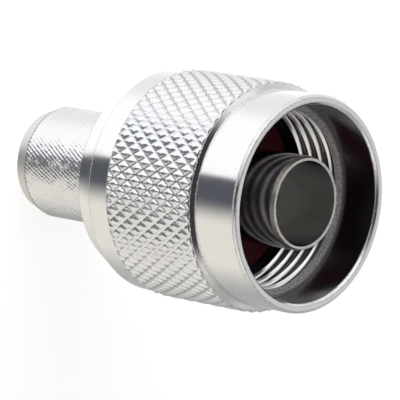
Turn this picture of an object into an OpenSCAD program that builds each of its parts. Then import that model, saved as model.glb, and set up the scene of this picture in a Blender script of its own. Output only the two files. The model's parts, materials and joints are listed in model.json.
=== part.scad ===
// Coaxial cable plug with a 5/8-24 coupling nut and a crimp stem, without its
// loose centre contact and crimp ferrule.
//
// The plug stands on the end of its stem: z = 0 is that end, the axis is +Z and
// the mouth that takes the jack is at the top. Two chains of sizes meet in the
// hub. The outer one starts at the thread and gives the nut, the flange and the
// hub's outside. The inner one starts at the contact tube's bore and gives the
// tube, the insulator, the stem and the hub's inside.

/* [Thread and mouth] */
// Major diameter of the nut's thread
thread_d = 15.875; // [15:0.025:20]
// Height of the thread's flanks, from its crests to its roots
thread_depth = 0.52; // [0.4:0.01:0.7]
// Axial length of the threaded bore
thread_len = 4.75; // [3:0.05:6]
// Depth of the plain mouth in front of the thread
mouth_depth = 3.7; // [2:0.1:5]
// Radial room between the thread's major diameter and the plain mouth
mouth_room = 0.15; // [0.05:0.05:0.5]
// Axial length of the cone that leads from the mouth into the thread
lead_len = 0.35; // [0.2:0.05:0.8]

/* [Coupling nut] */
// Length of the nut
nut_len = 18.5; // [16.5:0.1:24]
// Wall from the thread's major diameter to the tips of the knurl
nut_wall = 1.56; // [1.4:0.02:3]
// Drop from the knurl's tips to the smooth front ring
ring_drop = 0.6; // [0.4:0.05:0.8]
// Length of the smooth front ring
ring_len = 4.2; // [3:0.1:6]
// Width of the groove behind the front ring
groove_w = 0.4; // [0.2:0.05:0.8]
// Depth of that groove below the front ring
groove_depth = 0.25; // [0.1:0.05:0.3]
// Length of the cone at the nut's rear end
cone_len = 2.5; // [1:0.1:4]
// Drop from the knurl's tips to the small end of the cone
cone_drop = 1.5; // [0.8:0.05:2]
// Length of the smooth land between the cone and the knurl
land_len = 2.1; // [1:0.1:3]
// Drop from the knurl's tips to the land at the cone and at the knurl
land_drop = [0.24, 0.16];
// Bevel on the rims of the front face
face_bevel = 0.2; // [0.1:0.05:0.3]
// Width of the flat between the two bevels of the front face
face_flat = 0.4; // [0.2:0.05:0.6]

/* [Knurl] */
// Diamonds counted once round the nut
knurl_starts = 56; // [36:1:64]
// Diamonds counted along the nut
knurl_rows = 6; // [4:1:8]
// Height of a diamond's tip above its grooves
knurl_depth = 0.38; // [0.2:0.02:0.5]
// Bevel where the knurl ends at the groove
knurl_bevel = 0.25; // [0.1:0.05:0.4]

/* [Contact tube] */
// Bore of the outer contact tube
tube_bore = 7.0; // [6:0.05:8.4]
// Wall of the tube
tube_wall = 0.35; // [0.3:0.05:0.6]
// Distance of the tube's tip behind the nut's front face
tip_setback = 0.5; // [0:0.1:2]
// Radial and axial size of the bevel on the tube's tip
tip_bevel = [0.15, 0.38];

/* [Stem and insulator] */
// Length of the stem that stands out behind the nut
stem_reach = 11.3; // [8:0.1:20]
// Wall of the stem
stem_wall = 0.99; // [0.6:0.01:1.3]
// Length of the tapered lead at the stem's end
stem_lead_len = 1.4; // [0.5:0.1:3]
// Drop of that lead at the end
stem_lead_drop = 0.46; // [0.1:0.02:0.6]
// Length of the spigot that holds the stem in the hub
stem_grip = 2.2; // [1.5:0.1:4]
// Step from the tube's bore out to the insulator
insulator_step = 0.9; // [0.5:0.05:1.2]
// Step from the insulator out to the stem's outside
stem_step = 0.34; // [0.2:0.02:0.6]
// Length of the insulator
insulator_len = 5.1; // [3:0.1:6.2]
// Hole for the centre contact
contact_hole = 3.1; // [2:0.1:4]
// Depth and diameter of the dish in each end of the insulator
dish = [0.6, 5.2];

/* [Hub, flange and gasket] */
// Distance of the hub's rear face inside the nut's rear face
hub_recess = 0.7; // [0.2:0.1:2]
// Thickness of the flange that carries the gasket
flange_len = 0.95; // [0.6:0.05:2]
// Height of the flange above the hub
flange_rise = 1.06; // [0.8:0.02:1.3]
// Distance from the insulator's front end to the flange's front face
flange_lead = 0.2; // [0.1:0.1:1]
// Thickness of the gasket
gasket_len = 1.4; // [0.8:0.1:2]
// Distance of the gasket's rim inside the flange's rim
gasket_inset = 0.1; // [0:0.05:0.4]
// Step from the tube out to the seat that centres the gasket
seat_step = 0.9; // [0.3:0.05:1.2]
// Height of the gasket above that seat, which the jack's rim squeezes
gasket_squeeze = 0.4; // [0.1:0.1:0.6]

/* [Snap ring] */
// Axial thickness of the snap ring
snap_len = 0.8; // [0.5:0.05:1.2]
// Depth of the snap ring in the hub
snap_bite = 0.55; // [0.3:0.05:0.6]
// Height of the snap ring above the hub
snap_rise = 0.6; // [0.3:0.05:0.7]
// Opening in the snap ring
snap_gap = 1.6; // [0.5:0.1:4]
// Distance from the nut's rear face to the snap ring
snap_inset = 3.75; // [2:0.05:5]

/* [Clearances] */
// Radial room for the nut to turn on the hub
turn_gap = 0.05; // [0.02:0.01:0.1]
// Axial room between the nut and the flange, and at each side of the snap ring
play = 0.15; // [0.1:0.01:0.3]
// Radial room for the flange to pass the thread
flange_room = 0.12; // [0.05:0.01:0.5]
// Radial room round the insulator, the gasket's seat and the snap ring's groove
ease = 0.02; // [0.01:0.01:0.1]

/* [Hidden] */
$fn = 128;
overcut = 0.5;
// The knurl is a sleeve sunk into the nut, whose own wall stops below the grooves
core_drop = 0.15;
sleeve_depth = 0.4;

// Radii of the outer chain, from the thread
thread_minor_r = thread_d / 2 - thread_depth;
mouth_r = thread_d / 2 + mouth_room;
tip_r = thread_d / 2 + nut_wall;
ring_r = tip_r - ring_drop;
valley_r = tip_r - knurl_depth;
core_r = valley_r - core_drop;
sleeve_r = core_r - sleeve_depth;
cone_r = tip_r - cone_drop;
face_out_r = ring_r - face_bevel;
face_in_r = face_out_r - face_flat;
flange_r = thread_minor_r - flange_room;
hub_r = flange_r - flange_rise;
hub_bore_r = hub_r + turn_gap;
snap_out_r = hub_r + snap_rise;
snap_in_r = hub_r - snap_bite;
gasket_r = flange_r - gasket_inset;

// Radii of the inner chain, from the contact tube's bore
tube_bore_r = tube_bore / 2;
tube_r = tube_bore_r + tube_wall;
seat_r = tube_r + seat_step;
insulator_r = tube_bore_r + insulator_step;
pocket_r = insulator_r + ease;
stem_r = insulator_r + stem_step;
stem_bore_r = stem_r - stem_wall;

// Heights, from the stem's end up
nut_z0 = stem_reach;
nut_z1 = nut_z0 + nut_len;
mouth_z = nut_z1 - mouth_depth;
thread_z1 = mouth_z - lead_len;
thread_z0 = thread_z1 - thread_len;
ring_z = nut_z1 - ring_len;
knurl_z1 = ring_z - groove_w - knurl_bevel;
land_z = nut_z0 + cone_len;
knurl_z0 = land_z + land_len;
hub_z0 = nut_z0 + hub_recess;
stem_z1 = hub_z0 + stem_grip;
insulator_z1 = stem_z1 + insulator_len;
flange_z1 = insulator_z1 + flange_lead;
flange_z0 = flange_z1 - flange_len;
shoulder_z = flange_z0 - play;
gasket_z1 = flange_z1 + gasket_len;
seat_z1 = gasket_z1 - gasket_squeeze;
tube_z1 = nut_z1 - tip_setback;
snap_z0 = nut_z0 + snap_inset;
snap_z1 = snap_z0 + snap_len;

// ---- Diamond knurl --------------------------------------------------------

// The knurl is a lattice of points at half the diamonds' pitch, with row j up
// the nut and column i round it. Where i + j is odd a diamond has its tip, and
// where it is even two grooves cross.
half_rows = 2 * knurl_rows;
half_cols = 2 * knurl_starts;
function row_z(j) = knurl_z0 + (knurl_z1 - knurl_z0) * j / half_rows;
function lattice_point(i, j) =
    let (a = 360 * i / half_cols, r = (i + j) % 2 == 1 ? tip_r : valley_r)
    [r * cos(a), r * sin(a), row_z(j)];
function inner_point(i, z) =
    let (a = 360 * i / knurl_starts) [sleeve_r * cos(a), sleeve_r * sin(a), z];

// Index of the lattice point in column i of row j, counted round the nut
function at(i, j) = j * half_cols + (i + half_cols) % half_cols;
inner_0 = (half_rows + 1) * half_cols;
inner_1 = inner_0 + knurl_starts;
function inner(base, k) = base + k % knurl_starts;

// The four flanks of the diamond whose tip is in column i of row j
function flanks(i, j) = [
    [at(i, j), at(i, j + 1), at(i + 1, j)],
    [at(i, j), at(i + 1, j), at(i, j - 1)],
    [at(i, j), at(i, j - 1), at(i - 1, j)],
    [at(i, j), at(i - 1, j), at(i, j + 1)]
];

module knurl_sleeve() {
    tips = [for (j = [1 : half_rows - 1], i = [(j + 1) % 2 : 2 : half_cols - 1])
        each flanks(i, j)];
    // Half diamonds lie flat along both ends
    ends = [for (k = [0 : knurl_starts - 1]) let (i = 2 * k) each [
        [at(i, 0), at(i + 1, 1), at(i + 2, 0)],
        [at(i, half_rows), at(i + 2, half_rows), at(i + 1, half_rows - 1)]
    ]];
    inside = [for (k = [0 : knurl_starts - 1]) let (i = 2 * k) each [
        [at(i, 0), at(i + 2, 0), inner(inner_0, k + 1), inner(inner_0, k)],
        [at(i + 2, half_rows), at(i, half_rows), inner(inner_1, k), inner(inner_1, k + 1)],
        [inner(inner_0, k), inner(inner_0, k + 1), inner(inner_1, k + 1), inner(inner_1, k)]
    ]];
    polyhedron(
        points = concat(
            [for (j = [0 : half_rows], i = [0 : half_cols - 1]) lattice_point(i, j)],
            [for (z = [knurl_z0, knurl_z1], k = [0 : knurl_starts - 1]) inner_point(k, z)]),
        faces = concat(tips, ends, inside));
}

// ---- Pieces ---------------------------------------------------------------

// The outline of the nut, from the rear of its bore round to its mouth
module nut_profile() {
    polygon([
        [hub_bore_r, nut_z0],
        [cone_r, nut_z0],
        [tip_r - land_drop[0], land_z],
        [tip_r - land_drop[1], knurl_z0],
        [core_r, knurl_z0],
        [core_r, knurl_z1],
        [ring_r + knurl_bevel, knurl_z1],
        [ring_r, knurl_z1 + knurl_bevel],
        [ring_r - groove_depth, knurl_z1 + knurl_bevel],
        [ring_r - groove_depth, ring_z],
        [ring_r, ring_z],
        [ring_r, nut_z1 - face_bevel],
        [face_out_r, nut_z1],
        [face_in_r, nut_z1],
        [mouth_r, nut_z1 - face_bevel],
        [mouth_r, mouth_z],
        [thread_d / 2, mouth_z],
        [thread_minor_r, thread_z1],
        [thread_minor_r, thread_z0],
        [mouth_r, thread_z0],
        [mouth_r, shoulder_z],
        [hub_bore_r, shoulder_z]
    ]);
}

module coupling_nut() {
    color("gainsboro") difference() {
        union() {
            rotate_extrude() nut_profile();
            knurl_sleeve();
        }
        // Room for the snap ring
        translate([0, 0, snap_z0 - play])
            cylinder(r = snap_out_r + play, h = snap_len + 2 * play);
    }
}

// Outer contact tube, flange and hub, turned from one bar
module plug_body() {
    color("silver") rotate_extrude() polygon([
        [pocket_r, hub_z0],
        [hub_r, hub_z0],
        [hub_r, snap_z0],
        [snap_in_r - ease, snap_z0],
        [snap_in_r - ease, snap_z1],
        [hub_r, snap_z1],
        [hub_r, flange_z0],
        [flange_r, flange_z0],
        [flange_r, flange_z1],
        [seat_r, flange_z1],
        [seat_r, seat_z1],
        [tube_r, seat_z1],
        [tube_r, tube_z1 - tip_bevel[1]],
        [tube_r - tip_bevel[0], tube_z1],
        [tube_bore_r, tube_z1],
        [tube_bore_r, insulator_z1],
        [pocket_r, insulator_z1]
    ]);
}

// Tube that takes the cable's braid. Its shoulder bears on the hub's rear face,
// and its spigot is pressed into the hub behind the insulator.
module crimp_stem() {
    color("lightgray") rotate_extrude() polygon([
        [stem_bore_r, 0],
        [stem_r - stem_lead_drop, 0],
        [stem_r, stem_lead_len],
        [stem_r, hub_z0],
        [pocket_r, hub_z0],
        [pocket_r, stem_z1],
        [stem_bore_r, stem_z1]
    ]);
}

// Split ring that holds the nut on the hub
module snap_ring() {
    color("darkgoldenrod") translate([0, 0, snap_z0]) difference() {
        cylinder(r = snap_out_r, h = snap_len);
        translate([0, 0, -overcut]) cylinder(r = snap_in_r, h = snap_len + 2 * overcut);
        translate([0, -snap_gap / 2, -overcut])
            cube([snap_out_r + overcut, snap_gap, snap_len + 2 * overcut]);
    }
}

// Seal that the rim of the jack presses against
module gasket() {
    color("firebrick") translate([0, 0, flange_z1]) difference() {
        cylinder(r = gasket_r, h = gasket_len);
        translate([0, 0, -overcut]) cylinder(r = seat_r + ease, h = gasket_len + 2 * overcut);
    }
}

// Bead between the stem and the shoulder in the tube
module insulator() {
    color("white") translate([0, 0, stem_z1]) difference() {
        cylinder(r = insulator_r, h = insulator_len);
        translate([0, 0, -overcut])
            cylinder(d = contact_hole, h = insulator_len + 2 * overcut);
        translate([0, 0, -overcut]) cylinder(d = dish[1], h = dish[0] + overcut);
        translate([0, 0, insulator_len - dish[0]]) cylinder(d = dish[1], h = dish[0] + overcut);
    }
}

coupling_nut();
plug_body();
crimp_stem();
snap_ring();
gasket();
insulator();
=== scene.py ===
"""Looks of a coaxial cable plug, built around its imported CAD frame.

The plug stands on the end of its crimp stem. The axis is +Z and the mouth that takes the
jack is at the top. Sizes are in millimetres until a mesh is written, in metres. Every
turned piece is one closed outline swept round the axis. Geometry Nodes make what repeats
or follows a path: the nut's diamond knurl, its thread, and the stem's fine knurl.
"""

import json
import logging
import math
from dataclasses import dataclass
from enum import Enum
from typing import Any, Optional, Sequence, Union

import bmesh
import bpy
from mathutils import Matrix, Vector

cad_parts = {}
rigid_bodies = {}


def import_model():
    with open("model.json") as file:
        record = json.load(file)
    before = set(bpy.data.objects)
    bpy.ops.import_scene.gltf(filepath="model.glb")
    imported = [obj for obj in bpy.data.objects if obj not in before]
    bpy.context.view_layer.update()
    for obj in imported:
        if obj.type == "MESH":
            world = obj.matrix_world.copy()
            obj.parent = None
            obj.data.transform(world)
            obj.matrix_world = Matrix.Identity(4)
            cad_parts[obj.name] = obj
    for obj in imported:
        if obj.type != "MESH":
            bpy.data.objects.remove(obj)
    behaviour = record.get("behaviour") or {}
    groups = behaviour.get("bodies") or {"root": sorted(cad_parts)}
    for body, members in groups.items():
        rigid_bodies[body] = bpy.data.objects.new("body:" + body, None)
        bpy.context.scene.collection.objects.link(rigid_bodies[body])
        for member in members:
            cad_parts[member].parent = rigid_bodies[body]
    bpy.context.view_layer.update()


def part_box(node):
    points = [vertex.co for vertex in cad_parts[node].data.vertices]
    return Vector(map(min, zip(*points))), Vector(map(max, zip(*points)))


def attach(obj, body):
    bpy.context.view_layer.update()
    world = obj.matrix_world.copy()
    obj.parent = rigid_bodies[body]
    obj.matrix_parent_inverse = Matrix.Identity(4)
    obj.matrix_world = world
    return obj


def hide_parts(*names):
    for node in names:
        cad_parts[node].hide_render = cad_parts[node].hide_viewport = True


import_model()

MM = 0.001
TAU = 2 * math.pi
MERGE_DISTANCE = 1e-6
log = logging.getLogger("coaxial_plug")


# ---- Node graphs ------------------------------------------------------------


class Expr:
    """A socket on which Python's operators add Math nodes."""

    def __init__(self, graph: "Graph", socket: bpy.types.NodeSocket) -> None:
        """Wraps one output socket of a graph."""
        self.graph = graph
        self.socket = socket

    def math(self, operation: str, *others: "Value", clamp: bool = False) -> "Expr":
        """Adds a Math node whose first value is this one.

        Args:
            operation: the Math node's operation.
            others: the node's other values.
            clamp: whether the result is held between 0 and 1.

        Returns:
            The node's result.
        """
        values = dict(enumerate((self, *others)))
        settings = {"operation": operation, "use_clamp": clamp}
        return self.graph.out("ShaderNodeMath", settings, values)

    def __add__(self, other: "Value") -> "Expr":
        """self + other."""
        return self.math("ADD", other)

    def __sub__(self, other: "Value") -> "Expr":
        """self - other."""
        return self.math("SUBTRACT", other)

    def __mul__(self, other: "Value") -> "Expr":
        """self * other."""
        return self.math("MULTIPLY", other)

    def __truediv__(self, other: "Value") -> "Expr":
        """self / other."""
        return self.math("DIVIDE", other)

    def __pow__(self, other: "Value") -> "Expr":
        """self ** other."""
        return self.math("POWER", other)

    def __lt__(self, other: "Value") -> "Expr":
        """1 where self is less than other, otherwise 0."""
        return self.math("LESS_THAN", other)

    def __gt__(self, other: "Value") -> "Expr":
        """1 where self is more than other, otherwise 0."""
        return self.math("GREATER_THAN", other)

    def __radd__(self, other: float) -> "Expr":
        """other + self."""
        return self.math("ADD", other)

    def __rmul__(self, other: float) -> "Expr":
        """other * self."""
        return self.math("MULTIPLY", other)

    def __rsub__(self, other: float) -> "Expr":
        """other - self."""
        return self.graph.out("ShaderNodeMath", {"operation": "SUBTRACT"}, {0: other, 1: self})

    def __rtruediv__(self, other: float) -> "Expr":
        """other / self."""
        return self.graph.out("ShaderNodeMath", {"operation": "DIVIDE"}, {0: other, 1: self})

    def abs(self) -> "Expr":
        """The size of self without its sign."""
        return self.math("ABSOLUTE")

    def fract(self) -> "Expr":
        """What is left of self over the whole number below it."""
        return self.math("FRACT")

    def least(self, other: "Value") -> "Expr":
        """The smaller of self and other."""
        return self.math("MINIMUM", other)

    def most(self, other: "Value") -> "Expr":
        """The larger of self and other."""
        return self.math("MAXIMUM", other)

    def clamp(self) -> "Expr":
        """self held between 0 and 1."""
        return self.math("ADD", 0.0, clamp=True)

    def smooth(self, low: "Value", high: "Value") -> "Expr":
        """A soft step from 0 where self is low to 1 where it is high."""
        settings = {"interpolation_type": "SMOOTHSTEP"}
        values = {"Value": self, "From Min": low, "From Max": high}
        return self.graph.out("ShaderNodeMapRange", settings, values)


Value = Union[Expr, float, int]
Colour = tuple[float, float, float]


class Graph:
    """A node tree with one method that adds any node."""

    def __init__(self, tree: bpy.types.NodeTree) -> None:
        """Wraps a node tree."""
        self.tree = tree

    def node(
        self,
        kind: str,
        settings: Optional[dict[str, Any]] = None,
        values: Optional[dict[Union[int, str], Any]] = None,
    ) -> bpy.types.Node:
        """Adds a node.

        Args:
            kind: the node's type name.
            settings: its properties, set before its sockets.
            values: what its input sockets take, each a constant, a socket or an Expr.

        Returns:
            The new node.
        """
        node = self.tree.nodes.new(kind)
        for name, value in (settings or {}).items():
            setattr(node, name, value)
        for key, value in (values or {}).items():
            self.feed(node.inputs[key], value)
        return node

    def out(self, kind: str, settings: Optional[dict] = None, values: Optional[dict] = None,
            output: Union[int, str] = 0) -> Expr:
        """Adds a node and returns one of its outputs."""
        return Expr(self, self.node(kind, settings, values).outputs[output])

    def feed(self, socket: bpy.types.NodeSocket, value: Any) -> None:
        """Links an Expr or socket to an input, or sets the input's own value."""
        if isinstance(value, Expr):
            self.tree.links.new(value.socket, socket)
        elif isinstance(value, bpy.types.NodeSocket):
            self.tree.links.new(value, socket)
        else:
            socket.default_value = value

    def vector(self, x: Value, y: Value, z: Value) -> Expr:
        """A vector of three values."""
        return self.out("ShaderNodeCombineXYZ", None, {0: x, 1: y, 2: z})

    def parts(self, vector: Expr) -> tuple[Expr, Expr, Expr]:
        """The three parts of a vector."""
        node = self.node("ShaderNodeSeparateXYZ", None, {0: vector})
        return tuple(Expr(self, socket) for socket in node.outputs)

    def blend(self, factor: Value, first: Any, second: Any) -> Expr:
        """A colour that goes from first to second as factor goes from 0 to 1."""
        node = self.node("ShaderNodeMix", {"data_type": "RGBA"}, {0: factor})
        for socket, colour in zip((node.inputs[6], node.inputs[7]), (first, second)):
            self.feed(socket, colour if isinstance(colour, Expr) else (*colour, 1.0))
        return Expr(self, node.outputs[2])

    def noise(self, vector: Expr, scale: float, detail: float = 2.0, rough: float = 0.5) -> Expr:
        """Noise from 0 to 1 at a vector, with features about 1 / scale across."""
        values = {"Vector": vector, "Scale": scale, "Detail": detail, "Roughness": rough}
        return self.out("ShaderNodeTexNoise", None, values)


# ---- Turned shapes ----------------------------------------------------------


@dataclass(frozen=True)
class Corner:
    """A corner of an outline, at a radius and a height, with its rounding, in mm."""

    r: float
    z: float
    round: float = 0.03


class Outline:
    """A closed outline in the plane of radius and height, with rounded corners.

    Each point also carries how worn it is, from 0 on a flat to 1 on a rounded corner.
    A corner's rounding takes up at most LONGEST_REACH of the flat at either side.
    """

    ARC_STEPS = 4
    SUPPORT = 0.05
    LONGEST_REACH = 0.4

    def __init__(self, corners: Sequence[Corner]) -> None:
        """Rounds the corners and keeps the points.

        Args:
            corners: the outline's corners in order, either way round.
        """
        self.points: list[tuple[float, float, float]] = []
        count = len(corners)
        for i, corner in enumerate(corners):
            self._turn(corners[i - 1], corner, corners[(i + 1) % count])

    def _turn(self, before: Corner, here: Corner, after: Corner) -> None:
        """Adds one rounded corner, with a support point on the flat at each side."""
        at = Vector((here.r, here.z))
        back = Vector((before.r, before.z)) - at
        ahead = Vector((after.r, after.z)) - at
        half = back.angle(ahead) / 2
        reach = here.round / math.tan(half)
        reach = min(reach, self.LONGEST_REACH * back.length, self.LONGEST_REACH * ahead.length)
        radius = reach * math.tan(half)
        back_dir, ahead_dir = back.normalized(), ahead.normalized()
        centre = at + (back_dir + ahead_dir).normalized() * (radius / math.sin(half))
        start, end = at + back_dir * reach, at + ahead_dir * reach
        if back.length > 4 * self.SUPPORT:
            self._add(start + back_dir * self.SUPPORT, 0.0)
        for step in range(self.ARC_STEPS + 1):
            share = step / self.ARC_STEPS
            chord = start.lerp(end, share) - centre
            self._add(centre + chord.normalized() * radius, 1.0)
        if ahead.length > 4 * self.SUPPORT:
            self._add(end + ahead_dir * self.SUPPORT, 0.0)

    def _add(self, point: Vector, wear: float) -> None:
        """Adds a point with its wear."""
        self.points.append((point.x, point.y, wear))


def put_in_scene(name: str, mesh: bpy.types.Mesh) -> bpy.types.Object:
    """Makes an object of a mesh, at the origin."""
    thing = bpy.data.objects.new(name, mesh)
    bpy.context.scene.collection.objects.link(thing)
    return thing


def turned(name: str, outline: Outline, columns: int = 192, gap: float = 0.0) -> bpy.types.Object:
    """Sweeps an outline round the axis into a closed mesh with its faces outwards.

    Args:
        name: the object's name.
        outline: the outline, in mm.
        columns: how many steps go once round.
        gap: an angle left open about +X, in radians, whose two ends are closed.

    Returns:
        The object, smooth shaded, with a "wear" attribute on its points.
    """
    bm = bmesh.new()
    wear = bm.verts.layers.float.new("wear")
    last = columns if gap else columns - 1
    rings = []
    for c in range(last + 1):
        angle = gap / 2 + (TAU - gap) * c / columns
        ring = []
        for r, z, worn in outline.points:
            vert = bm.verts.new((r * math.cos(angle) * MM, r * math.sin(angle) * MM, z * MM))
            vert[wear] = worn
            ring.append(vert)
        rings.append(ring)
    count = len(outline.points)
    for c in range(columns):
        here, there = rings[c], rings[(c + 1) % len(rings)]
        for p in range(count):
            q = (p + 1) % count
            bm.faces.new((here[p], here[q], there[q], there[p]))
    if gap:
        bm.faces.new(rings[0])
        bm.faces.new(rings[-1])
    bmesh.ops.recalc_face_normals(bm, faces=bm.faces)
    mesh = bpy.data.meshes.new(name)
    bm.to_mesh(mesh)
    bm.free()
    mesh.shade_smooth()
    return put_in_scene(name, mesh)


# ---- Geometry Nodes ---------------------------------------------------------


class Recipe:
    """A Geometry Nodes tree with named inputs, built step by step."""

    def __init__(self, name: str, inputs: dict[str, str]) -> None:
        """Starts a tree.

        Args:
            name: the tree's name.
            inputs: each input's name and socket type, without its NodeSocket prefix.
        """
        self.tree = bpy.data.node_groups.new(name, "GeometryNodeTree")
        self.graph = Graph(self.tree)
        face = self.tree.interface
        face.new_socket("Geometry", in_out="INPUT", socket_type="NodeSocketGeometry")
        self.ids = {
            label: face.new_socket(label, in_out="INPUT", socket_type="NodeSocket" + kind).identifier
            for label, kind in inputs.items()
        }
        face.new_socket("Geometry", in_out="OUTPUT", socket_type="NodeSocketGeometry")
        self.entry = self.graph.node("NodeGroupInput")

    def __getitem__(self, label: str) -> Expr:
        """One of the tree's inputs."""
        return Expr(self.graph, self.entry.outputs[label])

    def finish(self, geometry: Expr) -> None:
        """Ends the tree: instances are made real and the material is set."""
        real = self.graph.out("GeometryNodeRealizeInstances", None, {0: geometry})
        dressed = self.graph.out(
            "GeometryNodeSetMaterial", None, {"Geometry": real, "Material": self["Material"]}
        )
        self.graph.node("NodeGroupOutput", None, {0: dressed})

    def make(self, name: str, values: dict[str, Any]) -> bpy.types.Object:
        """Runs the tree and keeps its result as a plain mesh.

        Args:
            name: the object's name.
            values: a value for each of the tree's inputs.

        Returns:
            The object, at the origin and without the modifier.
        """
        thing = put_in_scene(name, bpy.data.meshes.new(name + "_seed"))
        modifier = thing.modifiers.new("recipe", "NODES")
        modifier.node_group = self.tree
        for label, value in values.items():
            modifier[self.ids[label]] = value
        bpy.context.view_layer.update()
        graph = bpy.context.evaluated_depsgraph_get()
        mesh = bpy.data.meshes.new_from_object(thing.evaluated_get(graph), depsgraph=graph)
        thing.modifiers.remove(modifier)
        mesh.name = name
        thing.data = mesh
        face_outwards(mesh)
        return thing


def face_outwards(mesh: bpy.types.Mesh) -> None:
    """Merges the mesh's doubles and points its faces outwards."""
    bm = bmesh.new()
    bm.from_mesh(mesh)
    bmesh.ops.remove_doubles(bm, verts=bm.verts, dist=MERGE_DISTANCE / 10)
    bmesh.ops.recalc_face_normals(bm, faces=bm.faces)
    bm.to_mesh(mesh)
    bm.free()


def knurl_recipe() -> Recipe:
    """A closed sleeve whose outside is cut by two crossing families of grooves.

    Grooves run where u or v is a whole number. u goes forward round the sleeve as it
    goes up, and v goes back. Unevenness makes the grooves shallow in some patches and
    deep in others, and lowers the ridges there a little.
    """
    patches_per_mm, wear_bias, deepest_cut, ridge_loss = 1.6, 0.1, 1.2, 0.25
    recipe = Recipe("crossed_knurl", {
        "Columns": "Int", "Levels": "Int", "Starts": "Float", "Rows": "Float",
        "Tip Radius": "Float", "Groove Depth": "Float", "Inner Radius": "Float",
        "Bottom": "Float", "Top": "Float", "U Depth": "Float", "V Depth": "Float",
        "Fullness": "Float", "Bottom Limit": "Float", "Top Limit": "Float",
        "Unevenness": "Float", "Material": "Material",
    })
    g = recipe.graph
    levels = recipe["Levels"]
    grid = g.out("GeometryNodeMeshGrid", None, {
        "Size X": 1.0, "Size Y": 1.0,
        "Vertices X": recipe["Columns"] + 1, "Vertices Y": levels + 4,
    })
    x, y, _ = g.parts(g.out("GeometryNodeInputPosition"))
    turn = x + 0.5
    level = (y + 0.5) * (levels + 3)
    inner = (level < 0.5) + (level > levels + 1.5)
    share = ((level - 1) / levels).clamp() * (level < levels + 2.5)
    height = recipe["Top"] - recipe["Bottom"]
    z = recipe["Bottom"] + share * height
    round_share = turn * recipe["Starts"]
    up_share = share * recipe["Rows"]
    angle = turn * TAU
    cos, sin = angle.math("COSINE"), angle.math("SINE")
    reach = recipe["Tip Radius"]
    shake = g.noise(g.vector(cos * reach, sin * reach, z), patches_per_mm, 3.0) - 0.5

    def ridge(place: Expr, depth: Expr) -> Expr:
        """Height across one family, from 1 - depth in a groove to 1 between grooves."""
        aside = (place.fract() - 0.5).abs() * 2
        return 1.0 - depth * aside ** recipe["Fullness"]

    across = ridge(round_share + up_share, recipe["U Depth"])
    along = ridge(round_share - up_share, recipe["V Depth"])
    cut = (1.0 - recipe["Unevenness"] * (shake + wear_bias)).most(0.0).least(deepest_cut)
    tall = 1.0 - (1.0 - across.least(along)) * cut
    tall = tall - recipe["Unevenness"] * (shake.abs() * ridge_loss)
    valley = recipe["Tip Radius"] - recipe["Groove Depth"]
    r = valley + recipe["Groove Depth"] * tall
    r = r.least(recipe["Bottom Limit"] + share * height)
    r = r.least(recipe["Top Limit"] + (1.0 - share) * height)
    r = r * (1.0 - inner) + recipe["Inner Radius"] * inner
    moved = g.out("GeometryNodeSetPosition", None, {
        "Geometry": grid, "Position": g.vector(r * cos * MM, r * sin * MM, z * MM),
    })
    marked = g.out(
        "GeometryNodeStoreNamedAttribute", {"data_type": "FLOAT", "domain": "POINT"},
        {"Geometry": moved, "Name": "crest", "Value": tall.clamp()},
    )
    merged = g.out("GeometryNodeMergeByDistance", None, {"Geometry": marked, "Distance": MERGE_DISTANCE})
    recipe.finish(g.out("GeometryNodeSetShadeSmooth", None, {"Geometry": merged}))
    return recipe


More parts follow.
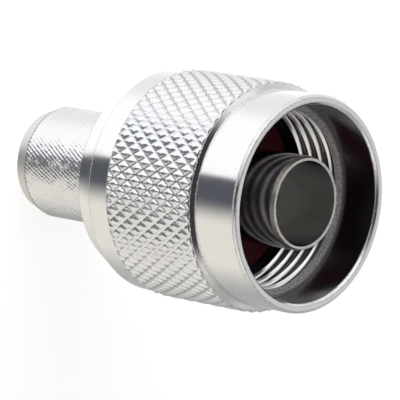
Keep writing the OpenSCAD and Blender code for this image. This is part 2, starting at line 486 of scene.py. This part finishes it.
def thread_recipe() -> Recipe:
    """A ridge wound along a helix inside a bore.

    The ridge narrows from its root to a bevelled crest that points at the axis. It fades
    in at the bottom, and nowhere comes nearer the axis than the cone of the lead.
    """
    buried, ease, crest_shoulder, fade_rate, lead_room = -0.25, 0.03, 0.94, 6.0, 0.02
    recipe = Recipe("thread", {
        "Turns": "Float", "Steps": "Int", "Pitch": "Float", "Bottom": "Float",
        "Start Angle": "Float", "Root Radius": "Float", "Crest Radius": "Float",
        "Root Width": "Float", "Bevel Width": "Float", "Bevel Depth": "Float",
        "Crest Width": "Float",
        "Lead Bottom": "Float", "Lead Slope": "Float", "Material": "Material",
    })
    g = recipe.graph
    root, crest = recipe["Root Width"] / 2, recipe["Crest Width"] / 2
    shoulder = crest + recipe["Bevel Width"]
    rise = recipe["Root Radius"] - recipe["Crest Radius"]
    bevel = 1.0 - recipe["Bevel Depth"] / rise
    half = [
        (root, buried), (root, 0.0), (shoulder + ease, bevel - 2 * ease),
        (shoulder - 0.01, bevel + 0.02), (crest + ease, crest_shoulder), (crest, 1.0),
    ]
    section = [(-1.0 * z, h) for z, h in half] + half[::-1]
    section.append(section[0])
    sides = len(section) - 1
    grid = g.out("GeometryNodeMeshGrid", None, {
        "Size X": 1.0, "Size Y": 1.0, "Vertices X": recipe["Steps"] + 1, "Vertices Y": sides + 1,
    })
    x, y, _ = g.parts(g.out("GeometryNodeInputPosition"))
    along, side = x + 0.5, ((y + 0.5) * sides).math("ROUND")

    def pick(values: Sequence[Value]) -> Expr:
        """The value of this point's side of the section."""
        total: Value = 0.0
        for index, value in enumerate(values):
            chosen = 1.0 - (side - index).abs().least(1.0)
            total = chosen * value + total
        return total

    turn = along * recipe["Turns"]
    fade = (turn * fade_rate).least(1.0)
    z = recipe["Bottom"] + turn * recipe["Pitch"] + pick([part[0] for part in section])
    tall = pick([part[1] for part in section])
    r = recipe["Root Radius"] - rise * (tall.most(0.0) * fade + tall.least(0.0))
    lead = recipe["Crest Radius"] + (z - recipe["Lead Bottom"]) * recipe["Lead Slope"]
    r = r.most(lead + lead_room * (z > recipe["Lead Bottom"]))
    angle = recipe["Start Angle"] + turn * TAU
    place = g.vector(r * angle.math("COSINE") * MM, r * angle.math("SINE") * MM, z * MM)
    moved = g.out("GeometryNodeSetPosition", None, {"Geometry": grid, "Position": place})
    marked = g.out(
        "GeometryNodeStoreNamedAttribute", {"data_type": "FLOAT", "domain": "POINT"},
        {"Geometry": moved, "Name": "crest", "Value": tall.clamp()},
    )
    merged = g.out("GeometryNodeMergeByDistance", None, {"Geometry": marked, "Distance": MERGE_DISTANCE})
    recipe.finish(g.out("GeometryNodeSetShadeSmooth", None, {"Geometry": merged}))
    return recipe


def close_ends(thing: bpy.types.Object) -> None:
    """Fills the open ends of a swept mesh and points its faces outwards."""
    bm = bmesh.new()
    bm.from_mesh(thing.data)
    open_edges = [edge for edge in bm.edges if edge.is_boundary]
    bmesh.ops.holes_fill(bm, edges=open_edges, sides=0)
    bmesh.ops.recalc_face_normals(bm, faces=bm.faces)
    bm.to_mesh(thing.data)
    bm.free()


# ---- Finishes ---------------------------------------------------------------


class Slot(Enum):
    """The record's material slots."""

    NUT = "nut_plating"
    BODY = "body_plating"
    STEM = "stem_plating"
    BRONZE = "spring_bronze"
    SILICONE = "red_silicone"
    BEAD = "white_bead"


class Mark(Enum):
    """The point attribute that a finish reads: wear on rounded corners, or the crests that the painted
    groove shade leaves clear.
    """

    WEAR = "wear"
    CREST = "crest"


class Paint:
    """A new material's graph, with the coordinates that turned work needs."""

    def __init__(self, name: str) -> None:
        """Starts a material with one Principled shader."""
        self.material = bpy.data.materials.new(name)
        self.material.use_nodes = True
        self.graph = Graph(self.material.node_tree)
        self.graph.tree.nodes.clear()
        self.shader = self.graph.node("ShaderNodeBsdfPrincipled")
        self.graph.node("ShaderNodeOutputMaterial", None, {"Surface": self.shader.outputs[0]})
        spot = self.graph.out("ShaderNodeTexCoord", None, None, "Object")
        scaled = self.graph.node("ShaderNodeVectorMath", {"operation": "SCALE"}, {0: spot})
        scaled.inputs["Scale"].default_value = 1 / MM
        self.spot = Expr(self.graph, scaled.outputs[0])
        self.x, self.y, self.z = self.graph.parts(self.spot)
        self.radius = (self.x * self.x + self.y * self.y).math("SQRT")

    def mark(self, mark: Mark) -> Expr:
        """The wear or crest attribute, from 0 to 1."""
        return self.graph.out("ShaderNodeAttribute", {"attribute_name": mark.value}, None, "Fac")

    def lathe_lines(self, scale: float) -> Expr:
        """Fine rings left by a lathe, from 0 to 1, that drift a little round the piece."""
        g = self.graph
        along = g.vector(self.x * 0.02, self.y * 0.02, self.z + self.radius)
        return g.noise(along, scale, 3.0, 0.7)

    def bump(self, layers: Sequence[tuple[Expr, float]]) -> None:
        """Sets the normal from layers of height, each with its depth in mm."""
        total: Value = 0.0
        for height, depth in layers:
            total = height * depth + total
        node = self.graph.node("ShaderNodeBump", None, {"Height": total})
        node.inputs["Strength"].default_value = 1.0
        node.inputs["Distance"].default_value = MM
        self.graph.feed(self.shader.inputs["Normal"], node.outputs[0])

    def set(self, **values: Any) -> None:
        """Feeds the shader's sockets. An underscore in a name stands for a space."""
        for name, value in values.items():
            self.graph.feed(self.shader.inputs[name.replace("_", " ")], value)


@dataclass(frozen=True)
class Plating:
    """Bright nickel over turned brass.

    Attributes:
        name: the material's name.
        tint: the plate's colour.
        dull: the colour of the plate's haze and pits, and of the painted shade in its grooves.
        roughness: the plate's roughness on a flat.
        rings: depth of the lathe's rings, in mm.
        grain: depth of the fine orange peel, in mm.
        mark: the attribute that roughens and nicks worn edges, or the crests that the painted groove
            shade leaves clear.
        groove_shade: how much painted shade darkens the plate in its grooves, away from the crests, from
            0 to 1; it also roughens them.
        speckle: how strong the small pits are, from 0 to 1.
    """

    name: str
    tint: Colour = (0.87, 0.87, 0.865)
    dull: Colour = (0.70, 0.69, 0.68)
    roughness: float = 0.11
    rings: float = 0.0006
    grain: float = 0.0006
    mark: Mark = Mark.WEAR
    groove_shade: float = 0.0
    speckle: float = 1.0

    def material(self) -> bpy.types.Material:
        """Builds the material."""
        paint = Paint(self.name)
        g = paint.graph
        cloud = g.noise(paint.spot, 0.35, 3.0)
        grain = g.noise(paint.spot, 7.0, 3.0, 0.6)
        wave = g.noise(paint.spot, 0.9, 1.0)
        rings = paint.lathe_lines(9.0)
        edge = paint.mark(self.mark)
        # Painted shade: away from the crests the colour is pulled towards dull, darkening the grooves;
        # the same mask also roughens them.
        groove_shade_mask = (1.0 - edge) * self.groove_shade
        hazy = ((cloud - 0.45) * 2.2).clamp()
        specks = (g.noise(paint.spot, 3.1, 2.0, 0.75)).smooth(0.66, 0.74) * self.speckle
        shade = g.blend(hazy * 0.25 + groove_shade_mask * 0.5 + specks * 0.25, self.tint, self.dull)
        rough = self.roughness + hazy * 0.05 + rings * 0.04 + groove_shade_mask * 0.12 + specks * 0.15
        layers = [(rings, self.rings), (grain, self.grain), (wave, 0.0035), (specks, -0.001)]
        if self.mark is Mark.WEAR:
            rough = rough + edge * 0.3
            nicks = g.noise(paint.spot, 5.0, 2.0, 0.6).smooth(0.52, 0.62) * edge
            layers.append((nicks, -0.03))
        paint.set(Base_Color=shade, Metallic=1.0, Roughness=rough)
        paint.bump(layers)
        return paint.material


@dataclass(frozen=True)
class RawCut:
    """Metal left grainy by a chamfering tool.

    Attributes:
        name: the material's name.
        tint: the colour of the grain's tops.
        deep: the colour between them.
        depth: the grain's depth, in mm.
        roughness: the roughness where it is least.
    """

    name: str
    tint: Colour = (0.96, 0.95, 0.94)
    deep: Colour = (0.38, 0.37, 0.38)
    depth: float = 0.09
    roughness: float = 0.42

    def material(self) -> bpy.types.Material:
        """Builds the material."""
        paint = Paint(self.name)
        g = paint.graph
        grain = g.noise(paint.spot, 5.5, 4.0, 0.8)
        patch = g.noise(paint.spot, 1.2, 2.0)
        shade = g.blend(grain.smooth(0.3, 0.7), self.deep, self.tint)
        paint.set(Base_Color=shade, Metallic=1.0, Roughness=self.roughness + patch * 0.2)
        paint.bump([(grain, self.depth), (paint.lathe_lines(5.0), 0.01)])
        return paint.material


@dataclass(frozen=True)
class Silicone:
    """Matt moulded silicone with a little dust in it."""

    name: str
    tint: Colour = (0.34, 0.06, 0.07)

    def material(self) -> bpy.types.Material:
        """Builds the material."""
        paint = Paint(self.name)
        g = paint.graph
        cloud = g.noise(paint.spot, 0.8, 3.0)
        dust = g.noise(paint.spot, 11.0, 2.0, 0.7).smooth(0.64, 0.72)
        flesh = g.blend(cloud, tuple(0.7 * c for c in self.tint), self.tint)
        shade = g.blend(dust * 0.35, flesh, (0.5, 0.38, 0.36))
        paint.set(Base_Color=shade, Roughness=0.46 + cloud * 0.12 + dust * 0.2)
        paint.bump([(g.noise(paint.spot, 9.0, 3.0), 0.012), (paint.lathe_lines(3.0), 0.01)])
        return paint.material


@dataclass(frozen=True)
class Fluoropolymer:
    """Waxy white bead, turned from rod."""

    name: str
    tint: Colour = (0.84, 0.84, 0.81)

    def material(self) -> bpy.types.Material:
        """Builds the material."""
        paint = Paint(self.name)
        g = paint.graph
        cloud = g.noise(paint.spot, 0.6, 3.0)
        rings = paint.lathe_lines(6.0)
        shade = g.blend(cloud * 0.5 + rings * 0.2, self.tint, (0.76, 0.75, 0.70))
        paint.set(Base_Color=shade, Roughness=0.38 + rings * 0.14)
        paint.shader.inputs["Subsurface Weight"].default_value = 0.15
        paint.shader.inputs["Subsurface Scale"].default_value = 0.4 * MM
        paint.bump([(rings, 0.006), (cloud, 0.02)])
        return paint.material


@dataclass(frozen=True)
class Bronze:
    """Drawn spring bronze, darker in blotches."""

    name: str
    tint: Colour = (0.62, 0.42, 0.22)

    def material(self) -> bpy.types.Material:
        """Builds the material."""
        paint = Paint(self.name)
        g = paint.graph
        blotch = g.noise(paint.spot, 1.4, 3.0).smooth(0.4, 0.7)
        drawn = paint.lathe_lines(12.0)
        shade = g.blend(blotch * 0.6, self.tint, (0.36, 0.21, 0.10))
        paint.set(Base_Color=shade, Metallic=1.0, Roughness=0.26 + blotch * 0.16 + drawn * 0.08)
        paint.bump([(drawn, 0.003), (blotch, 0.001)])
        return paint.material


# ---- Pieces -----------------------------------------------------------------


def mount(thing: bpy.types.Object, body: str, node: Optional[str] = None) -> None:
    """Makes a piece ride on a body, and stand for a CAD node if one is given."""
    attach(thing, body)
    if node:
        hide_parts(node)
    log.info("%s: %d faces on %s", thing.name, len(thing.data.polygons), body)


def dress(thing: bpy.types.Object, material: bpy.types.Material) -> None:
    """Gives a mesh one material."""
    thing.data.materials.clear()
    thing.data.materials.append(material)


def top_of(node: str) -> float:
    """Height of a CAD node's upper end, in mm."""
    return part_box(node)[1].z / MM


def foot_of(node: str) -> float:
    """Height of a CAD node's lower end, in mm."""
    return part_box(node)[0].z / MM


def rim_of(node: str) -> float:
    """Largest radius of a CAD node, in mm."""
    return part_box(node)[1].y / MM


@dataclass
class CouplingNut:
    """The nut that spins on the plug: its shell, diamond knurl, thread and lead cone.

    Sizes in mm are from the nut's own faces. knurl_facets is how many faces cross half a
    ridge, and tip_setback is how far the thread's first crest lies below the mouth's face.
    """

    body: str = "nut"
    node: str = "coupling_nut"
    thread_r: float = 15.875 / 2
    thread_depth: float = 0.52
    pitch: float = 25.4 / 24
    mouth_depth: float = 3.7
    mouth_room: float = 0.15
    lead_len: float = 0.35
    thread_len: float = 4.75
    ring_drop: float = 0.6
    ring_len: float = 4.2
    step_gap: float = 0.42
    step_foot: float = 0.1
    step_drop: float = 0.12
    cone_len: float = 2.5
    cone_drop: float = 1.5
    land_len: float = 2.1
    land_drop: tuple[float, float] = (0.24, 0.16)
    bevel: float = 0.2
    face_flat: float = 0.4
    knurl_starts: int = 56
    knurl_rows: int = 6
    knurl_facets: int = 5
    knurl_depth: float = 0.38
    groove_reach: float = 0.2
    core_drop: float = 0.15
    sleeve_sink: float = 0.2
    hub_bore_r: float = 6.2875
    shoulder_rise: float = 7.1
    snap_rise: float = 3.6
    snap_room: float = 1.1
    snap_r: float = 6.9875
    tip_setback: float = 4.67
    crest_w: float = 0.05
    root_w: float = 0.7
    crest_bevel: tuple[float, float] = (0.15, 0.165)
    steps_per_turn: int = 144

    def __post_init__(self) -> None:
        """Takes the ends and the tip radius from the frame and works out the rest."""
        self.z0, self.z1 = foot_of(self.node), top_of(self.node)
        self.tip_r = rim_of(self.node)
        self.ring_r = self.tip_r - self.ring_drop
        self.valley_r = self.tip_r - self.knurl_depth
        self.core_r = self.valley_r - self.core_drop
        self.mouth_r = self.thread_r + self.mouth_room
        self.minor_r = self.thread_r - self.thread_depth
        self.mouth_z = self.z1 - self.mouth_depth
        self.lead_z = self.mouth_z - self.lead_len
        self.thread_z = self.lead_z - self.thread_len
        self.land_z = self.z0 + self.cone_len
        self.knurl_z0 = self.land_z + self.land_len
        self.ring_z = self.z1 - self.ring_len
        self.knurl_z1 = self.ring_z - self.step_gap

    def outline(self) -> Outline:
        """The nut's section, without its knurl and thread."""
        face_r = self.ring_r - self.bevel
        snap_z = self.z0 + self.snap_rise
        shoulder_z = self.z0 + self.shoulder_rise
        return Outline([
            Corner(self.hub_bore_r, self.z0, 0.08),
            Corner(self.tip_r - self.cone_drop, self.z0, 0.12),
            Corner(self.tip_r - self.land_drop[0], self.land_z, 0.1),
            Corner(self.tip_r - self.land_drop[1], self.knurl_z0, 0.02),
            Corner(self.core_r, self.knurl_z0, 0.01),
            Corner(self.core_r, self.knurl_z1, 0.01),
            Corner(self.tip_r - self.step_drop, self.knurl_z1, 0.03),
            Corner(self.ring_r, self.ring_z - self.step_foot, 0.03),
            Corner(self.ring_r, self.z1 - self.bevel, 0.12),
            Corner(face_r, self.z1, 0.06),
            Corner(face_r - self.face_flat, self.z1, 0.05),
            Corner(self.mouth_r, self.z1 - self.bevel, 0.05),
            Corner(self.mouth_r, self.mouth_z, 0.02),
            Corner(self.thread_r, self.mouth_z, 0.02),
            Corner(self.minor_r, self.lead_z, 0.02),
            Corner(self.thread_r, self.lead_z - 0.02, 0.01),
            Corner(self.thread_r, self.thread_z, 0.02),
            Corner(self.mouth_r, self.thread_z, 0.02),
            Corner(self.mouth_r, shoulder_z, 0.05),
            Corner(self.hub_bore_r, shoulder_z, 0.05),
            Corner(self.hub_bore_r, snap_z + self.snap_room, 0.03),
            Corner(self.snap_r, snap_z + self.snap_room, 0.03),
            Corner(self.snap_r, snap_z, 0.03),
            Corner(self.hub_bore_r, snap_z, 0.03),
        ])

    def dress_shell(self, shell: bpy.types.Object) -> None:
        """Gives the shell its plating, the bore a darker one whose dark tint is painted shade, and the
        lead cone its raw cut.
        """
        # The bore's dark tint and dark dull colour are painted shade inside the nut.
        bore = Plating("bore_nickel_painted_shade", tint=(0.42, 0.40, 0.42), dull=(0.36, 0.34, 0.36),
                       roughness=0.19, speckle=0.0)
        for finish in (Plating("nut_nickel"), RawCut("lead_cone_cut"), bore):
            shell.data.materials.append(finish.material())
        for face in shell.data.polygons:
            r, z = face.center.xy.length / MM, face.center.z / MM
            if self.lead_z < z < self.mouth_z and r < self.thread_r:
                face.material_index = 1
            elif r < self.mouth_r + 0.01 and z < self.z1 - self.bevel:
                face.material_index = 2

    def knurl(self, recipe: Recipe) -> bpy.types.Object:
        """The diamond knurl, as a sleeve on the nut's core."""
        return recipe.make("nut_diamond_knurl", {
            "Columns": self.knurl_starts * 2 * self.knurl_facets,
            "Levels": self.knurl_rows * 2 * self.knurl_facets,
            "Starts": float(self.knurl_starts), "Rows": float(self.knurl_rows),
            "Tip Radius": self.tip_r, "Groove Depth": self.groove_reach,
            "Inner Radius": self.core_r - self.sleeve_sink,
            "Bottom": self.knurl_z0, "Top": self.knurl_z1,
            "U Depth": 1.0, "V Depth": 1.0, "Fullness": 3.0,
            "Bottom Limit": self.tip_r - self.land_drop[1],
            "Top Limit": self.tip_r - self.step_drop,
            "Unevenness": 0.25,
            # The knurl's plating is darkened in its grooves, away from the crests: painted shade.
            "Material": Plating(
                "knurl_nickel", tint=(0.88, 0.887, 0.90), roughness=0.24, mark=Mark.CREST,
                groove_shade=0.35, rings=0.0).material(),
        })

    def thread(self, recipe: Recipe) -> bpy.types.Object:
        """The right-hand thread inside the nut."""
        first = self.thread_z + self.root_w / 2
        top = self.z1 - self.tip_setback
        turns_up = math.floor((top - first) / self.pitch)
        spare = top - turns_up * self.pitch - first
        bottom = first + 0.01
        turns = (self.mouth_z - bottom) / self.pitch
        ridge = recipe.make("nut_thread", {
            "Turns": turns, "Steps": int(turns * self.steps_per_turn),
            "Pitch": self.pitch, "Bottom": bottom, "Start Angle": -spare / self.pitch * TAU,
            "Root Radius": self.thread_r, "Crest Radius": self.minor_r,
            "Root Width": self.root_w, "Crest Width": self.crest_w,
            "Bevel Width": self.crest_bevel[0], "Bevel Depth": self.crest_bevel[1],
            "Lead Bottom": self.lead_z,
            "Lead Slope": (self.mouth_r - self.minor_r) / self.lead_len,
            # The thread's grooves are darkened towards a purplish grey, away from the crests: painted
            # shade.
            "Material": Plating("thread_nickel_groove_shade", dull=(0.36, 0.31, 0.40), mark=Mark.CREST,
                                groove_shade=0.9, rings=0.0015).material(),
        })
        close_ends(ridge)
        return ridge

    def build(self, knurls: Recipe, threads: Recipe) -> None:
        """Builds and mounts the nut's pieces."""
        shell = turned("nut_shell", self.outline())
        self.dress_shell(shell)
        mount(shell, self.body, self.node)
        for piece in (self.knurl(knurls), self.thread(threads)):
            mount(piece, self.body)


@dataclass
class PlugBody:
    """Contact tube, gasket seat, flange and hub, turned from one bar."""

    body: str = "plug"
    node: str = "plug_body"
    bore_r: float = 3.5
    tube_r: float = 3.85
    seat_r: float = 4.75
    pocket_r: float = 4.42
    hub_r: float = 6.2375
    snap_r: float = 5.6675
    snap_rise: float = 3.05
    snap_len: float = 0.8
    flange_z: tuple[float, float] = (6.55, 7.5)
    seat_rise: float = 8.5
    shoulder_rise: float = 7.3
    tip_bevel: tuple[float, float] = (0.15, 0.38)

    def build(self) -> None:
        """Builds and mounts the body."""
        z0, z1 = foot_of(self.node), top_of(self.node)
        flange_r = rim_of(self.node)
        flange_0, flange_1 = (z0 + rise for rise in self.flange_z)
        snap_0, snap_1 = z0 + self.snap_rise, z0 + self.snap_rise + self.snap_len
        seat_z = z0 + self.seat_rise
        bevel_z = z1 - self.tip_bevel[1] - 0.02
        shell = turned("plug_body_shell", Outline([
            Corner(self.pocket_r, z0, 0.06),
            Corner(self.hub_r, z0, 0.1),
            Corner(self.hub_r, snap_0),
            Corner(self.snap_r, snap_0),
            Corner(self.snap_r, snap_1),
            Corner(self.hub_r, snap_1),
            Corner(self.hub_r, flange_0, 0.05),
            Corner(flange_r, flange_0, 0.06),
            Corner(flange_r, flange_1, 0.06),
            Corner(self.seat_r, flange_1),
            Corner(self.seat_r, seat_z, 0.08),
            Corner(self.tube_r, seat_z, 0.06),
            Corner(self.tube_r, z1 - self.tip_bevel[1], 0.15),
            Corner(self.tube_r - self.tip_bevel[0], z1, 0.06),
            Corner(self.bore_r, z1, 0.06),
            Corner(self.bore_r, z0 + self.shoulder_rise, 0.05),
            Corner(self.pocket_r, z0 + self.shoulder_rise),
        ]), columns=160)
        # The tube's outer wall down in the mouth has a dark tint: painted shade.
        tube = Plating("tube_nickel_painted_shade", tint=(0.40, 0.38, 0.41), dull=(0.3, 0.28, 0.3), roughness=0.10)
        tip = RawCut("tube_tip_cut", tint=(0.92, 0.88, 0.81), deep=(0.55, 0.47, 0.38),
                     depth=0.02, roughness=0.2)
        # The tube's flat rim: its tint, brighter than the body's plating, is a painted highlight; its
        # roughness is higher too.
        rim = Plating("tube_rim_nickel_painted_highlight", tint=(0.96, 0.96, 0.95), roughness=0.5)
        for finish in (Plating("body_nickel", roughness=0.13, rings=0.0012), tube, tip, rim):
            shell.data.materials.append(finish.material())
        for face in shell.data.polygons:
            r, z = face.center.xy.length / MM, face.center.z / MM
            if seat_z - 0.1 < z < bevel_z and r > self.tube_r - 0.02:
                face.material_index = 1
            elif bevel_z < z < z1 - 0.03 and r > self.bore_r + 0.1:
                face.material_index = 2
            elif z > z1 - 0.06:
                face.material_index = 3
        mount(shell, self.body, self.node)


@dataclass
class CrimpStem:
    """Tube with a fine knurl that takes the cable's braid."""

    body: str = "plug"
    node: str = "crimp_stem"
    bore_r: float = 3.75
    spigot_r: float = 4.42
    spigot_len: float = 2.2
    lead_len: float = 1.4
    lead_drop: float = 0.46
    collar_len: float = 0.1
    knurl_depth: float = 0.06
    core_drop: float = 0.05
    sleeve_sink: float = 0.1
    starts: int = 84
    rows: int = 18
    facets: int = 3

    def build(self, knurls: Recipe) -> None:
        """Builds and mounts the stem's shell and its knurl."""
        z0, z1 = foot_of(self.node), top_of(self.node)
        out_r = rim_of(self.node)
        core_r = out_r - self.knurl_depth - self.core_drop
        lead_z, shoulder_z = z0 + self.lead_len, z1 - self.spigot_len
        collar_z = shoulder_z - self.collar_len
        shell = turned("crimp_stem_shell", Outline([
            Corner(self.bore_r, z0, 0.12),
            Corner(out_r - self.lead_drop, z0, 0.1),
            Corner(out_r, lead_z, 0.004),
            Corner(core_r, lead_z, 0.01),
            Corner(core_r, collar_z, 0.01),
            Corner(out_r, collar_z, 0.01),
            Corner(out_r, shoulder_z, 0.03),
            Corner(self.spigot_r, shoulder_z, 0.03),
            Corner(self.spigot_r, z1, 0.08),
            Corner(self.bore_r, z1, 0.08),
        ]), columns=160)
        shell.data.materials.append(Plating("stem_nickel", roughness=0.17).material())
        shell.data.materials.append(Plating("stem_lead_nickel", tint=(0.80, 0.79, 0.76),
                                            roughness=0.42, grain=0.002).material())
        for face in shell.data.polygons:
            face.material_index = int(face.center.z < (lead_z + 0.01) * MM)
        mount(shell, self.body, self.node)
        sleeve = knurls.make("crimp_stem_knurl", {
            "Columns": self.starts * 2 * self.facets, "Levels": self.rows * 2 * self.facets,
            "Starts": float(self.starts), "Rows": float(self.rows),
            "Tip Radius": out_r, "Groove Depth": self.knurl_depth,
            "Inner Radius": core_r - self.sleeve_sink,
            "Bottom": lead_z, "Top": collar_z,
            "U Depth": 0.45, "V Depth": 1.0, "Fullness": 2.0,
            "Bottom Limit": out_r, "Top Limit": out_r, "Unevenness": 3.2,
            # The stem knurl's plating is darkened in its grooves, away from the crests: painted shade.
            "Material": Plating(
                "stem_knurl_nickel", tint=(0.87, 0.873, 0.88), roughness=0.24, mark=Mark.CREST,
                groove_shade=0.3, rings=0.0, grain=0.006).material(),
        })
        mount(sleeve, self.body)


@dataclass
class Inserts:
    """What the body carries: snap ring, gasket and insulator."""

    body: str = "plug"
    snap_r: float = 5.6875
    snap_gap: float = 1.6
    seat_r: float = 4.77
    contact_r: float = 1.55
    dish_r: float = 2.6
    dish_depth: float = 0.6

    def band(self, name: str, node: str, inner: float, round_by: float,
             gap: float = 0.0) -> bpy.types.Object:
        """A ring of square section between an inner radius and the CAD node's rim.

        Args:
            name: the object's name.
            node: the CAD node that gives the ring's ends and rim.
            inner: the ring's inner radius, in mm.
            round_by: the rounding of its edges, in mm.
            gap: the angle left open, in radians.

        Returns:
            The ring.
        """
        z0, z1, rim = foot_of(node), top_of(node), rim_of(node)
        corners = [(inner, z0), (rim, z0), (rim, z1), (inner, z1)]
        outline = Outline([Corner(r, z, round_by) for r, z in corners])
        return turned(name, outline, columns=160, gap=gap)

    def bead(self, node: str) -> bpy.types.Object:
        """The insulator, dished at both ends round the hole for the contact."""
        z0, z1, rim = foot_of(node), top_of(node), rim_of(node)
        low, high = z0 + self.dish_depth, z1 - self.dish_depth
        return turned("insulator_bead", Outline([
            Corner(self.contact_r, low, 0.08),
            Corner(self.dish_r, low, 0.15),
            Corner(self.dish_r, z0, 0.08),
            Corner(rim, z0, 0.12),
            Corner(rim, z1, 0.12),
            Corner(self.dish_r, z1, 0.08),
            Corner(self.dish_r, high, 0.15),
            Corner(self.contact_r, high, 0.08),
        ]), columns=128)

    def build(self) -> None:
        """Builds and mounts the three pieces."""
        rim = rim_of("snap_ring")
        ring = self.band("snap_ring_wire", "snap_ring", self.snap_r, 0.08, self.snap_gap / rim)
        seal = self.band("gasket_seal", "gasket", self.seat_r, 0.18)
        bead = self.bead("insulator")
        dress(ring, Bronze("spring_bronze").material())
        dress(seal, Silicone("red_silicone").material())
        dress(bead, Fluoropolymer("white_bead").material())
        mount(ring, self.body, "snap_ring")
        mount(seal, self.body, "gasket")
        mount(bead, self.body, "insulator")


# ---- Studio -----------------------------------------------------------------


@dataclass
class Studio:
    """Camera, floor, soft lights and the pale room that the metal reflects."""

    camera_at: tuple[float, float, float] = (-239.2026, 27.5977, 243.3018)
    camera_right: tuple[float, float, float] = (0.6891979, 0.0916586, 0.7187523)
    camera_up: tuple[float, float, float] = (0.0, 0.9919666, -0.1265001)
    lens: float = 360.0
    floor_r: float = 3000.0

    def camera(self) -> None:
        """Aims the camera from in front of the mouth, with the axis lying across the view."""
        data = bpy.data.cameras.new("camera")
        data.lens = self.lens
        data.sensor_width = 36.0
        data.clip_start, data.clip_end = 10 * MM, 10.0
        thing = bpy.data.objects.new("camera", data)
        bpy.context.scene.collection.objects.link(thing)
        right, up = Vector(self.camera_right), Vector(self.camera_up)
        back = right.cross(up)
        place = Matrix((right, up, back)).transposed().to_4x4()
        place.translation = Vector(self.camera_at) * MM
        thing.matrix_world = place
        bpy.context.scene.camera = thing

    def floor(self) -> None:
        """A plain pale disc under the plug that keeps its shadow."""
        bm = bmesh.new()
        bmesh.ops.create_circle(bm, cap_ends=True, segments=96, radius=self.floor_r * MM)
        mesh = bpy.data.meshes.new("floor")
        bm.to_mesh(mesh)
        bm.free()
        thing = put_in_scene("floor", mesh)
        thing.location.z = -0.02 * MM
        material = bpy.data.materials.new("pale_floor")
        material.use_nodes = True
        g = Graph(material.node_tree)
        g.tree.nodes.clear()
        paper = g.out("ShaderNodeBsdfDiffuse", None, {"Color": (0.86, 0.86, 0.86, 1.0)})
        glow = g.out("ShaderNodeEmission", None, {"Strength": 0.6})
        both = g.out("ShaderNodeAddShader", None, {0: paper, 1: glow})
        seen = g.out("ShaderNodeLightPath", None, None, "Is Camera Ray")
        mix = g.out("ShaderNodeMixShader", None, {0: seen, 1: paper, 2: both})
        g.node("ShaderNodeOutputMaterial", None, {"Surface": mix})
        dress(thing, material)
        thing.visible_glossy = False

    def world(self) -> None:
        """A pale room, white on the +Y side and warm on the other, with a dark gap between.

        The gap is widest towards -X and closes towards +X. Above the mouth it is dark too,
        except towards +X, where a grey wall stands.
        """
        world = bpy.data.worlds.new("pale_room")
        bpy.context.scene.world = world
        world.use_nodes = True
        g = Graph(world.node_tree)
        g.tree.nodes.clear()
        x, y, z = g.parts(g.out("ShaderNodeTexCoord", None, None, "Generated"))
        bright, paper, dim = (1.15, 1.16, 1.17), (1.14, 1.13, 1.12), (0.93, 0.93, 0.92)
        warm, grey, wall = (0.86, 0.83, 0.77), (0.42, 0.42, 0.42), (0.64, 0.64, 0.65)
        gap, hollow = (0.10, 0.105, 0.125), (0.045, 0.04, 0.045)
        upper_edge, upper_soft = 0.082 - x * 0.23, 0.022 - x * 0.01
        upper = y.smooth(upper_edge - upper_soft, upper_edge + upper_soft)
        lower = y.smooth(-0.06, -0.25 + x * 0.22)
        far_upper = g.blend(y.smooth(0.2, 0.55), paper, dim)
        upper_side = g.blend(x.smooth(-0.1, 0.3), bright, far_upper)
        lower_side = g.blend((x - y).smooth(0.5, 1.12), warm, grey)
        room = g.blend(lower, gap, lower_side)
        room = g.blend(upper, room, upper_side)
        ahead = x.smooth(0.4, 0.6)
        room = g.blend(z.smooth(0.0, 0.4) * ahead, room, wall)
        overhead = z.smooth(0.69, 0.77) * y.abs().smooth(0.75, 0.5) * (1.0 - ahead)
        room = g.blend(overhead, room, hollow)
        shown = g.out("ShaderNodeBackground", None, {"Color": room, "Strength": 1.0})
        white_out = g.out("ShaderNodeBackground", None, {"Color": (1, 1, 1, 1), "Strength": 1.0})
        seen = g.out("ShaderNodeLightPath", None, None, "Is Camera Ray")
        mix = g.out("ShaderNodeMixShader", None, {0: seen, 1: shown, 2: white_out})
        g.node("ShaderNodeOutputWorld", None, {"Surface": mix})

    def lamp(self, name: str, place: Colour, size: float, watts: float) -> None:
        """A square soft light aimed at the middle of the plug.

        Args:
            name: the light's name.
            place: where it stands, in mm.
            size: its side, in mm.
            watts: its power.
        """
        data = bpy.data.lights.new(name, "AREA")
        data.size, data.energy = size * MM, watts
        thing = bpy.data.objects.new(name, data)
        bpy.context.scene.collection.objects.link(thing)
        spot, middle = Vector(place) * MM, Vector((0, 0, 15 * MM))
        thing.location = spot
        thing.rotation_euler = (middle - spot).to_track_quat("-Z", "Y").to_euler()
        thing.visible_glossy = False

    def build(self) -> None:
        """Sets up the whole studio."""
        bpy.context.scene.view_settings.view_transform = "Standard"
        self.camera()
        self.floor()
        self.world()
        self.lamp("key", (-60, 300, 60), 200, 0.4)


def main() -> None:
    """Builds the plug and its studio in order."""
    logging.basicConfig(level=logging.INFO, format="%(name)s: %(message)s")
    Studio().build()
    knurls, threads = knurl_recipe(), thread_recipe()
    CouplingNut().build(knurls, threads)
    PlugBody().build()
    CrimpStem().build(knurls)
    Inserts().build()


if __name__ == "__main__":
    main()
